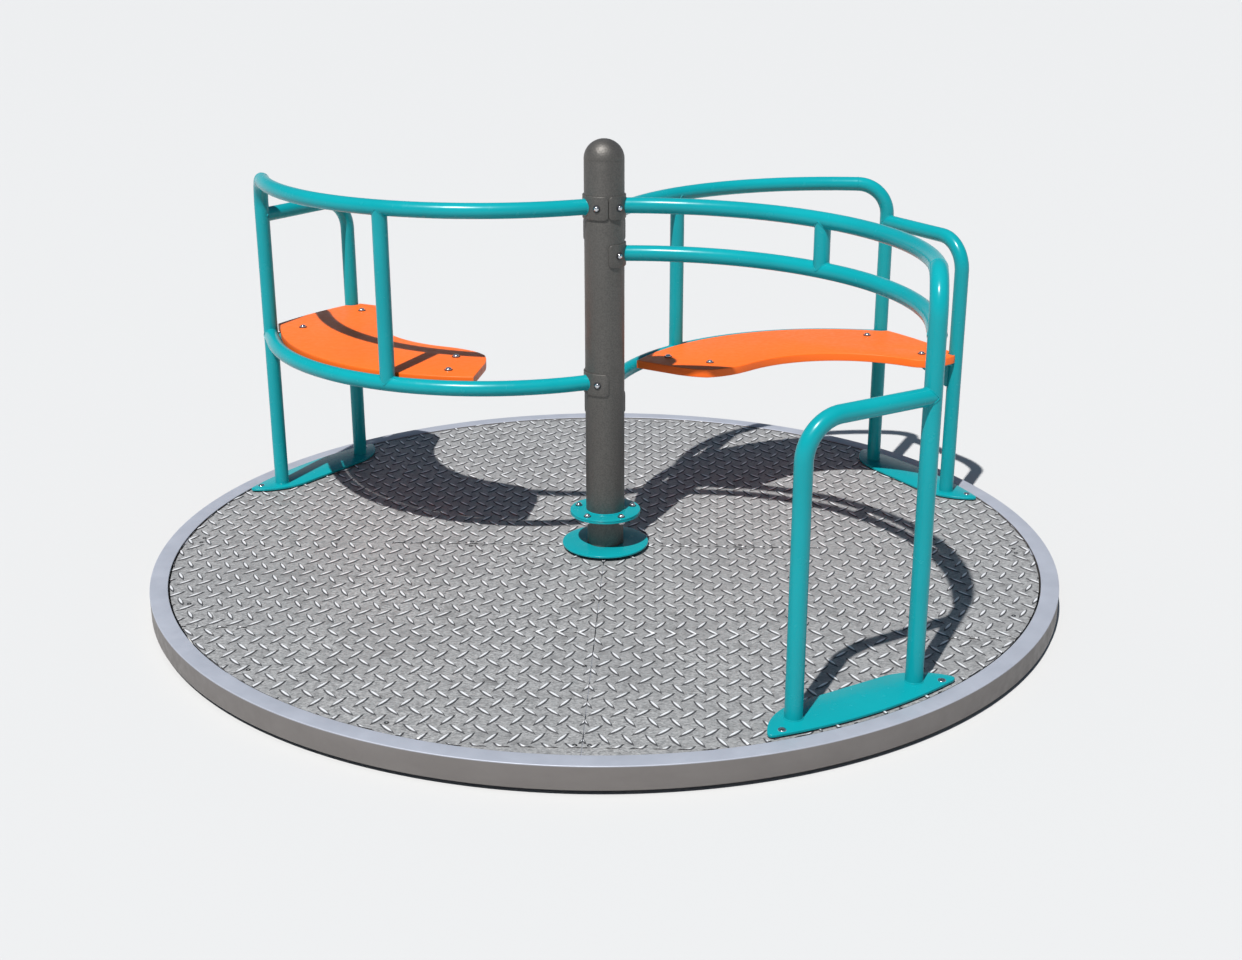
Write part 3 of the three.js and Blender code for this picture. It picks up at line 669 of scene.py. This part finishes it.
def hoop_route(height):
    across = np.array([*unit(LEG_2 - LEG_1), 0.0])
    side = np.cross(UP, across)
    return (Route([*LEG_1, height], across)
            .forward(LEG_SPACING - BEND)
            .turn(side, 90, BEND, BEND_STEPS)
            .forward(height - BEND - FOOT_TOP))


def joint_loop(origin, branch, main, main_radius, sides=36):
    """Where a branch tube meets a main tube whose axis passes through origin."""
    branch, main = unit(np.asarray(branch, float)), unit(np.asarray(main, float))
    first = unit(np.cross(branch, main))
    second = np.cross(branch, first)
    points = []
    for angle in np.linspace(0, 2 * math.pi, sides, endpoint=False):
        offset = TUBE * (math.cos(angle) * first + math.sin(angle) * second)
        flat_offset = offset - main * np.dot(offset, main)
        flat_branch = branch - main * np.dot(branch, main)
        a = np.dot(flat_branch, flat_branch)
        b = np.dot(flat_offset, flat_branch)
        c = np.dot(flat_offset, flat_offset) - main_radius ** 2
        reach = (-b + math.sqrt(max(b * b - a * c, 0.0))) / a
        points.append(np.asarray(origin) + offset + branch * reach)
    return points


def weld(build, points, place, radius=1.3):
    """A round bead along a closed loop of points."""
    count = len(points) * 3
    fine = [points[i // 3] + (points[(i // 3 + 1) % len(points)] - points[i // 3]) * ((i % 3) / 3)
            for i in range(count)]
    vertices, faces = sweep(fine, loop_headings(fine), radius, 8, closed=True)
    build.add(vertices, faces, place=place)


def ring_points(origin, normal, radius, sides=36):
    place = stand_on(origin, normal)
    return [place([radius * math.cos(a), radius * math.sin(a), 0.0])
            for a in np.linspace(0, 2 * math.pi, sides, endpoint=False)]


def wing_place(azimuth):
    """A placement that turns a wing about the spin axis and stands it on the deck."""
    return lambda v: turned(v, azimuth) + UP * TOP


def saddle_outline():
    """A saddle rolled out flat: a rounded oblong, with points along its long edges for the mesh's columns."""
    half, tall = math.radians(SADDLE_SPAN / 2) * SADDLE_OUTER, SADDLE_HEIGHT / 2
    corners = []
    for x, y, start in ((half, -tall, -90), (half, tall, 0), (-half, tall, 90), (-half, -tall, 180)):
        centre = (x - math.copysign(SADDLE_CORNER, x), y - math.copysign(SADDLE_CORNER, y))
        corners += arc(centre, SADDLE_CORNER, start, start + 90, 6)
    outline = []
    for point, following in zip(corners, corners[1:] + corners[:1]):
        pieces = max(1, round(abs(following[0] - point[0]) / SADDLE_COLUMN))
        outline += [point + (following - point) * k / pieces for k in range(pieces)]
    return np.array(outline)


def saddle_shell(height):
    """A saddle's outline as a thick shell, bent round the post at a height."""
    outline = saddle_outline()
    sides = len(outline)
    shoulder = SADDLE_OUTER - SADDLE_EDGE
    layers = [(0.0, SADDLE_INNER), (0.0, shoulder)]
    layers += [(SADDLE_EDGE * (1 - math.cos(a)), shoulder + SADDLE_EDGE * math.sin(a))
               for a in np.radians((35, 65, 90))]
    vertices = []
    for shift, radius in layers:
        for x, y in inset(outline, shift):
            vertices.append([*polar(radius, math.degrees(x / SADDLE_OUTER)), height + y])
    faces = facing(bridge(len(layers), sides, False), True)
    # The curved faces are filled in columns, left edge to right edge, so that they follow the post.
    order = np.argsort(outline[:, 0], kind="stable")
    lower = [i for i in order if outline[i][1] < 0]
    upper = [i for i in order if outline[i][1] >= 0]
    for layer, flip in ((0, True), (len(layers) - 1, False)):
        start = layer * sides
        for k in range(len(lower) - 1):
            quad = [start + lower[k], start + lower[k + 1], start + upper[k + 1], start + upper[k]]
            faces.append(quad[::-1] if flip else quad)
    return vertices, faces


def build_saddle(name, node, azimuth, height):
    """A half-round saddle on the post, with its two bolts."""
    place = wing_place(azimuth)
    build = Build(POST, BRIGHT, DARK)
    build.add(*saddle_shell(height), place=place)
    for bolt_angle in (-SADDLE_BOLT_ANGLE, SADDLE_BOLT_ANGLE):
        outward = np.array([*polar(1, bolt_angle), 0.0])
        stand = stand_on(outward * (SADDLE_OUTER - 0.4) + UP * height, outward)
        add_bolt(build, SADDLE_BOLT, lambda v: place(stand(v)), (1, 2))
    build.finish(name, [node], sharp=40)


def seat_outline():
    """A crescent board: arcs about the rail's centre, rounded ends and a bite for the second leg."""
    inner_start, inner_end = 125, 45  # degrees along the rail
    points = rail_arc(SEAT_OUTER, 26.1, 105.5, 48)
    points += arc((0, 0), SEAT_RIM, LEG_1_ANGLE - 1.7, LEG_1_ANGLE - LEG_APART, 14)
    points += quadratic(points[-1], past_leg(18.9, 897), past_leg(19.3, 875), 6)
    points += quadratic(past_leg(19.9, 850), past_leg(20.4, 802), beside_rail(inner_start, SEAT_INNER), 12)
    points += rail_arc(SEAT_INNER, inner_start, inner_end, 40)
    points += quadratic(points[-1], beside_rail(30.6, 308), beside_rail(25.6, 350), 10)
    points += quadratic(points[-1], beside_rail(24.1, 378), beside_rail(24.4, 420), 6)
    points.append(beside_rail(26.1, SEAT_OUTER))
    outline = without_repeats(points)[::-1]
    return bite(outline, LEG_2, TUBE + 1.4)


def foot_outline():
    """Foot plate in plan: the rim's arc outside, a straight inner edge and rounded ends."""
    centre = np.array([FOOT_INNER_EDGE + FOOT_END_RADIUS, FOOT_HALF_STRAIGHT])
    tip = centre + polar(FOOT_END_RADIUS, FOOT_END_ANGLE)
    upper = arc(centre, FOOT_END_RADIUS, FOOT_END_ANGLE, 180, 16)
    side = quadratic(polar(FOOT_OUTER_RADIUS, FOOT_RIM_ANGLE), tip + [13, 6], tip, 8)
    rim = arc((0, 0), FOOT_OUTER_RADIUS, -FOOT_RIM_ANGLE, FOOT_RIM_ANGLE, 24)
    mirror = lambda points: [np.array([x, -y]) for x, y in reversed(points)]
    points = rim + side + upper + mirror(upper) + mirror(side)
    return np.array([turned(p, BETWEEN_LEGS) for p in without_repeats(points)])


def build_wing_tubes(name, place, top, lower, hoop, has_seat):
    upright = Route([*beside_rail(UPRIGHT_ALONG, RAIL_RADIUS), top], [0, 0, -1]).forward(top - lower)
    tubes = [
        ("top_rail", rail_route(top), "top_rail"),
        ("outer_post", outer_post_route(top), "outer_post"),
        ("hoop", hoop_route(hoop), "hoop"),
        ("lower_rail", rail_route(lower).forward(BEND), "seat_rail" if has_seat else "second_rail"),
        ("upright", upright, "mid_post" if has_seat else "strut"),
    ]
    for part, route, node in tubes:
        build = Build(TEAL)
        build.add(*sweep(route.points, route.headings, TUBE, TUBE_SIDES), place=place)
        build.finish(f"{name}_{part}_tube", [f"{name}_{node}"])


def build_wing_welds(name, place, top, lower, hoop):
    welds = Build(TEAL)
    upright = beside_rail(UPRIGHT_ALONG, RAIL_RADIUS)
    along = np.array([*turned(np.array([1.0, 0.0]), -UPRIGHT_ALONG), 0.0])
    across = np.array([*unit(LEG_2 - LEG_1), 0.0])
    leg_1, leg_2 = np.array([*LEG_1, 0.0]), np.array([*LEG_2, 0.0])
    for rail_height in (top, lower):
        weld(welds, joint_loop([0, 0, rail_height], [1, 0, 0], UP, SADDLE_OUTER), place, 1.0)
        inwards = UP * (-1 if rail_height == top else 1)
        weld(welds, joint_loop([*upright, rail_height], inwards, along, TUBE), place)
    weld(welds, joint_loop(leg_1 + UP * lower, -rail_end.heading, UP, TUBE), place)
    weld(welds, joint_loop(leg_1 + UP * hoop, across, UP, TUBE), place)
    weld(welds, ring_points([*rail_end.point[:2], top], rail_end.heading, TUBE - 0.9), place, 1.5)
    for leg in (leg_1, leg_2):
        weld(welds, ring_points(leg + UP * (FOOT_TOP + 0.5), UP, TUBE + 0.3), place, 1.2)
    welds.finish(f"{name}_weld_beads")


def build_foot_plate(name, place):
    foot = Build(TEAL, BRIGHT, DARK)
    foot.add(*slab(foot_outline(), GAP, FOOT_TOP, 1.2, 3), place=place)
    ring = rounded([(4.0, 0.0), (8.2, 0.0), (7.2, 1.5), (4.4, 1.5)], 0.5, 2)
    # Painted shade: a dark disc fills each screw ring, standing for the shaded hole inside it.
    socket = [(0.0, -0.2), (4.4, -0.2), (4.4, 0.5), (0.0, 0.5)]
    for reach in (-FOOT_SCREW_REACH, FOOT_SCREW_REACH):
        spot = turned(np.array([FOOT_SCREW_OUT, reach, FOOT_TOP]), BETWEEN_LEGS)
        foot.add(*lathe(ring, 24), slot=1, place=lambda v: place(v + spot))
        foot.add(*lathe(socket, 24), slot=2, place=lambda v: place(v + spot))
    foot.finish(f"{name}_foot_plate_bevelled", [f"{name}_foot_plate"])


def build_seat(name, place, seat):
    board = Build(ORANGE, BRIGHT, DARK)
    board.add(*slab(seat_outline(), seat - SEAT_THICKNESS, seat, 1.6, 5), place=place)
    board.finish(f"{name}_seat_board", [f"{name}_seat"])
    bolts = Build(BRIGHT, DARK)
    for bolt in SEAT_BOLTS:
        spot = np.array([*bolt, seat])
        add_bolt(bolts, SEAT_BOLT, lambda v: place(v + spot), (0, 1))
        bolts.add(*hex_nut(*SEAT_NUT), place=lambda v: place(v + spot))
    bolts.finish(f"{name}_seat_bolts")


def build_wing(letter, wing):
    azimuth, top, lower, hoop, seat = (wing[key] for key in ("azimuth", "top", "lower", "hoop", "seat"))
    name = f"wing_{letter}"
    place = wing_place(azimuth)
    build_wing_tubes(name, place, top, lower, hoop, has_seat=seat is not None)
    build_wing_welds(name, place, top, lower, hoop)
    for part, height in (("top_saddle", top), ("lower_saddle", lower)):
        build_saddle(f"{name}_{part}_shell", f"{name}_{part}", azimuth, height)
    build_foot_plate(name, place)
    if seat is not None:
        build_seat(name, place, seat)


# ---------------------------------------------------------------- centre
def build_post():
    bottom, top = HUB_TOP + 2 * GAP, TOP + POST_RISE - POST_RADIUS
    bore = POST_RADIUS - POST_WALL
    profile = [(bore, bottom), (POST_RADIUS, bottom), (POST_RADIUS, top), (bore, top)]
    post = Build(POST)
    post.add(*lathe(rounded(profile, 0.2, 2), 128))
    post.finish("centre_post_tube", ["centre_post"])


def build_cap():
    """The hollow dome on the post, with its spigot."""
    bottom = TOP + POST_RISE - POST_RADIUS + 0.1
    profile = [(SPIGOT_OUTER, bottom), (POST_RADIUS - 0.2, bottom), (POST_RADIUS, bottom + 0.2)]
    profile += [(POST_RADIUS * math.cos(a), bottom + 1.5 + (POST_RADIUS - 1.8) * math.sin(a))
                for a in np.radians(np.linspace(0, 89.9, 25))]
    profile += [(SPIGOT_INNER * math.cos(a), bottom + SPIGOT_INNER * math.sin(a))
                for a in np.radians(np.linspace(89.9, 0, 13))]
    profile += [(SPIGOT_INNER, bottom - SPIGOT_DEPTH), (SPIGOT_OUTER, bottom - SPIGOT_DEPTH)]
    cap = Build(POST)
    cap.add(*lathe(profile, 128))
    cap.finish("post_cap_dome", ["post_cap"])


def build_hub():
    """The housing's tube and bottom plate in the post's grey, and its flange in teal."""
    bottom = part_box("hub_housing")[0][2] / MM
    plate_top = bottom + HUB_PLATE_THICKNESS
    under_flange = HUB_TOP - FLANGE_THICKNESS
    tube = [(HUB_BORE, bottom), (HUB_PLATE_RADIUS, bottom), (HUB_PLATE_RADIUS, plate_top),
            (HUB_RADIUS, plate_top), (HUB_RADIUS, under_flange), (HUB_BORE, under_flange)]
    flange = [(FLANGE_BORE, under_flange), (FLANGE_RADIUS, under_flange), (FLANGE_RADIUS, HUB_TOP),
              (FLANGE_BORE, HUB_TOP)]
    hub = Build(POST, TEAL)
    hub.add(*lathe(tube))
    hub.add(*lathe(rounded(flange, 1.0, 3)), slot=1)
    hub.finish("hub_housing_turned", ["hub_housing"])


def build_flange():
    """The post's flange, with a weld bead round the post."""
    bore, bottom = POST_RADIUS + GAP, HUB_TOP + GAP
    profile = [(bore, bottom), (FLANGE_RADIUS, bottom), (FLANGE_RADIUS, FLANGE_TOP), (bore, FLANGE_TOP)]
    flange = Build(TEAL)
    flange.add(*lathe(rounded(profile, 1.2, 4)))
    bead = ring_points([0, 0, FLANGE_TOP + GAP], UP, POST_RADIUS + 0.4, 96)
    headings = loop_headings(ring_points([0, 0, 0], UP, POST_RADIUS, 96))
    flange.add(*sweep(bead, headings, 2.0, 8, closed=True))
    flange.finish("post_flange_turned", ["post_flange"])


def build_studs():
    studs = Build(BRIGHT, DARK)
    for i in range(STUD_COUNT):
        spot = np.array([*polar(STUD_CIRCLE, 90 + DECK_TURN + 360 / STUD_COUNT * i), FLANGE_TOP])
        add_bolt(studs, STUD_BOLT, lambda v: v + spot, (0, 1))
        studs.add(*hex_nut(*STUD_NUT), place=lambda v: v + spot)
    studs.finish("flange_stud_nuts", ["flange_stud_ring"])


def build_collar():
    bore, bottom = HUB_RADIUS + GAP, TOP + COLLAR_LIFT
    top = bottom + COLLAR_THICKNESS
    profile = [(bore, bottom), (COLLAR_RADIUS, bottom), (COLLAR_RADIUS, top), (bore, top)]
    collar = Build(TEAL)
    collar.add(*lathe(rounded(profile, 1.4, 4)))
    collar.finish("deck_collar_turned", ["deck_collar"])


# ---------------------------------------------------------------- platform
def build_rim():
    bottom = TOP - RIM_HEIGHT
    lip, ceiling = bottom + RIM_INNER_LIFT, TOP - RIM_WALL
    profile = [(RIM_OUTER - RIM_WALL, bottom), (RIM_OUTER, bottom), (RIM_OUTER, TOP), (RIM_INNER, TOP),
               (RIM_INNER, lip), (RIM_INNER + RIM_WALL, lip), (RIM_INNER + RIM_WALL, ceiling),
               (RIM_OUTER - RIM_WALL, ceiling)]
    rim = Build(RIM)
    rim.add(*lathe(rounded(profile, 1.8, 4, (1, 2, 3)), 240))
    rim.finish("rim_ring_rolled", ["rim_ring"])


def quarter_plate(steps=60):
    """A flat quarter plate with its first seam along +X."""
    seam = lambda radius: math.degrees(math.asin(HALF_SEAM / radius))
    outer = arc((0, 0), DECK_RADIUS, seam(DECK_RADIUS), 90 - seam(DECK_RADIUS), steps)
    inner = arc((0, 0), DECK_HOLE, 90 - seam(DECK_HOLE), seam(DECK_HOLE), steps)[::-1]
    bottom, top = TOP - DECK_THICKNESS, TOP - BAR_HEIGHT
    vertices = []
    for edge, z in ((inner, bottom), (outer, bottom), (outer, top), (inner, top)):
        vertices.extend([x, y, z] for x, y in edge)
    count = steps + 1
    faces = []
    for a, b in ((0, 1), (1, 2), (2, 3), (3, 0)):
        first, second = a * count, b * count
        faces.extend([first + j, second + j, second + j + 1, first + j + 1] for j in range(steps))
    faces.append([0, 3 * count, 2 * count, count])
    faces.append([k * count + steps for k in range(4)])
    return vertices, faces


def tread_bar():
    """A raised bar with pointed ends, along X on z = 0."""
    height = BAR_HEIGHT + BAR_ROOT
    stations, across = np.linspace(-1, 1, 9)[1:-1], np.linspace(-1, 1, 5)
    vertices = [[-BAR_LENGTH / 2, 0, 0], [BAR_LENGTH / 2, 0, 0]]
    for u in stations:
        wide = BAR_WIDTH / 2 * (1 - abs(u) ** 1.8)
        tall = height * (1 - abs(u) ** 3)
        vertices.extend([u * BAR_LENGTH / 2, v * wide, tall * (1 - abs(v) ** 1.8)] for v in across)
    rows, columns = len(stations), len(across)
    faces = []
    for j in range(columns - 1):
        faces.append([0, 2 + j + 1, 2 + j])
        end = 2 + (rows - 1) * columns
        faces.append([1, end + j, end + j + 1])
        for i in range(rows - 1):
            a = 2 + i * columns + j
            faces.append([a, a + 1, a + columns + 1, a + columns])
    return np.array(vertices), faces


def bar_places():
    """The place and angle of each bar of a quarter, with a margin of bars outside it."""
    margin = 3
    for shift, angle in zip(((0.0, 0.0), TREAD_OFFSET), TREAD_ANGLES):
        for i in range(-margin, int(DECK_RADIUS / TREAD_PITCH[0]) + margin):
            for j in range(-margin, int(TREAD_MIRROR / TREAD_PITCH[1]) + margin + 1):
                step = turned(np.array([i * TREAD_PITCH[0], j * TREAD_PITCH[1]]), TREAD_TURN)
                x, y = np.array(TREAD_START) + shift + step
                yield x, y, angle


def laid_bar(bar, x, y, angle, upper):
    """A bar's vertices in a quarter, those past a seam, the mirror line or the plate's edge moved in to it.

    None for a bar that lies wholly outside. An upper bar is the mirror image beyond the mirror line.
    """
    placed = np.array([turned(v, angle) for v in bar]) + [x, y, TOP - BAR_HEIGHT - BAR_ROOT]
    if not -TREAD_OVERHANG < y < TREAD_MIRROR + TREAD_OVERHANG or np.all(placed[:, 0] <= HALF_SEAM):
        return None
    placed[:, 0] = np.maximum(placed[:, 0], HALF_SEAM)
    placed[:, 1] = np.clip(placed[:, 1], HALF_SEAM, TREAD_MIRROR)
    if upper:
        placed[:, 1] = 2 * TREAD_MIRROR - placed[:, 1]
    radii = np.hypot(placed[:, 0], placed[:, 1])
    if radii.min() > TREAD_OUTER or radii.max() < TREAD_INNER:
        return None
    placed[:, :2] *= (np.minimum(radii, DECK_RADIUS) / radii)[:, None]
    return placed


def build_quarter(number):
    """A quarter plate with its tread; quarters 2 and 4 are mirror images of 1 and 3."""
    sign_x, sign_y = ((1, 1), (-1, 1), (-1, -1), (1, -1))[number - 1]
    mirrored = sign_x != sign_y

    def into_quarter(v):
        return turned(np.array([sign_x * v[0], sign_y * v[1], v[2]]), DECK_TURN)

    build = Build(TREAD)
    vertices, faces = quarter_plate()
    build.add(vertices, facing(faces, mirrored), place=into_quarter)
    bar, bar_faces = tread_bar()
    for x, y, angle in bar_places():
        for upper in (False, True):
            placed = laid_bar(bar, x, y, angle, upper)
            if placed is not None:
                build.add(placed, facing(bar_faces, mirrored != upper), place=into_quarter)
    build.finish(f"deck_plate_{number}_tread", [f"deck_quarter_{number}"], sharp=50)


def build_screws():
    """Countersunk screws in pairs along the seams, and singly near the plates' edge."""
    screws = Build(DARK)
    seams = [DECK_TURN + 90 * k for k in range(4)]
    spots = [turned(np.array([radius, side]), seam)
             for seam in seams for radius in SCREW_CIRCLES for side in (-SCREW_TO_SEAM, SCREW_TO_SEAM)]
    spots += [polar(SCREW_CIRCLES[-1], seam + RIM_SCREW_STEP * step) for seam in seams for step in (1, 2, 3)]
    head = [(0.0, -0.6), (4.6, -0.6), (4.9, 0.3), (2.4, 0.35), (1.9, -0.4), (0.0, -0.4)]
    for spot in spots:
        at = np.array([*spot, TOP - BAR_HEIGHT + GAP])
        screws.add(*lathe(head, 16), place=lambda v: v + at)
    screws.finish("deck_screws")


# ---------------------------------------------------------------- carried-over CAD nodes
def finish_nodes():
    kinds = {
        "base_plate": GALVANISED, "spindle_socket": GALVANISED, "spindle": MACHINED, "grease_seal": RUBBER,
        "lock_nut": BRIGHT, "lower_bearing_cup": MACHINED, "lower_bearing_cone": MACHINED,
        "upper_bearing_cup": MACHINED, "upper_bearing_cone": MACHINED,
    }
    for name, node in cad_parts.items():
        if name.startswith("spoke"):
            material = GALVANISED
        elif "bracket" in name:
            material = TEAL
        else:
            material = kinds.get(name, TEAL)
        node.data.materials.clear()
        node.data.materials.append(material)


# ---------------------------------------------------------------- studio
CAMERA_LENS = 46.816
CAMERA_PLACE = (-0.0004, -3.40772, 1.37905)  # metres, from the middle of the deck
CAMERA_DOWN, CAMERA_YAW = 19.752, -0.602  # degrees
FLOOR_REACH = 60.0  # metres, from the middle to each side
SUN_AZIMUTH, SUN_ELEVATION, SUN_SPREAD = -115.0, 60.0, 0.8  # degrees
SUN_ENERGY, SUN_COLOR = 5.4, (1.0, 0.985, 0.96)
HORIZON_COLOR, SKY_COLOR = (0.62, 0.64, 0.66, 1.0), (0.085, 0.129, 0.19, 1.0)
HORIZON_BAND = (0.14, 0.34)  # sine of the elevation where the pale band ends and where the sky begins


def add_to_scene(name, data):
    thing = bpy.data.objects.new(name, data)
    bpy.context.scene.collection.objects.link(thing)
    return thing


def build_camera():
    camera = add_to_scene("camera", bpy.data.cameras.new("camera"))
    camera.data.lens = CAMERA_LENS
    camera.data.sensor_width = 36.0
    camera.data.clip_end = 200.0
    camera.location = (CAMERA_PLACE[0], CAMERA_PLACE[1], CAMERA_PLACE[2] + TOP * MM)
    camera.rotation_euler = (math.radians(90 - CAMERA_DOWN), 0.0, math.radians(CAMERA_YAW))
    bpy.context.scene.camera = camera


def build_floor():
    mesh = bpy.data.meshes.new("floor")
    corners = [(x * FLOOR_REACH, y * FLOOR_REACH, 0) for x, y in ((-1, -1), (1, -1), (1, 1), (-1, 1))]
    mesh.from_pydata(corners, [], [(0, 1, 2, 3)])
    mesh.materials.append(Surface("pale_floor", linear(194, 194, 194), 0.9, specular=0.1).material)
    floor = add_to_scene("floor", mesh)


def build_sun():
    light = bpy.data.lights.new("key", "SUN")
    light.energy = SUN_ENERGY
    light.angle = math.radians(SUN_SPREAD)
    light.color = SUN_COLOR
    elevation = math.radians(SUN_ELEVATION)
    toward = Vector((*polar(math.cos(elevation), SUN_AZIMUTH), math.sin(elevation)))
    add_to_scene("key", light).rotation_euler = toward.to_track_quat("Z", "Y").to_euler()


def build_sky():
    """A pale band at the horizon, behind the floor in a low view, under a dim bluish sky."""
    world = bpy.data.worlds.new("studio")
    world.use_nodes = True
    tree = world.node_tree
    direction = tree.nodes.new("ShaderNodeTexCoord").outputs["Generated"]
    split = tree.nodes.new("ShaderNodeSeparateXYZ")
    tree.links.new(direction, split.inputs["Vector"])
    height = map_range(tree, split.outputs["Z"], *HORIZON_BAND, 0.0, 1.0)
    color = mix_colors(tree, height, HORIZON_COLOR, SKY_COLOR)
    tree.links.new(color, tree.nodes["Background"].inputs["Color"])
    bpy.context.scene.world = world
    bpy.context.scene.view_settings.view_transform = "Standard"


build_camera()
build_floor()
build_sun()
build_sky()
finish_nodes()
build_rim()
for quarter in (1, 2, 3, 4):
    build_quarter(quarter)
build_screws()
for build_part in (build_post, build_cap, build_hub, build_flange, build_studs, build_collar):
    build_part()
for wing_letter, wing_sizes in WINGS.items():
    build_wing(wing_letter, wing_sizes)
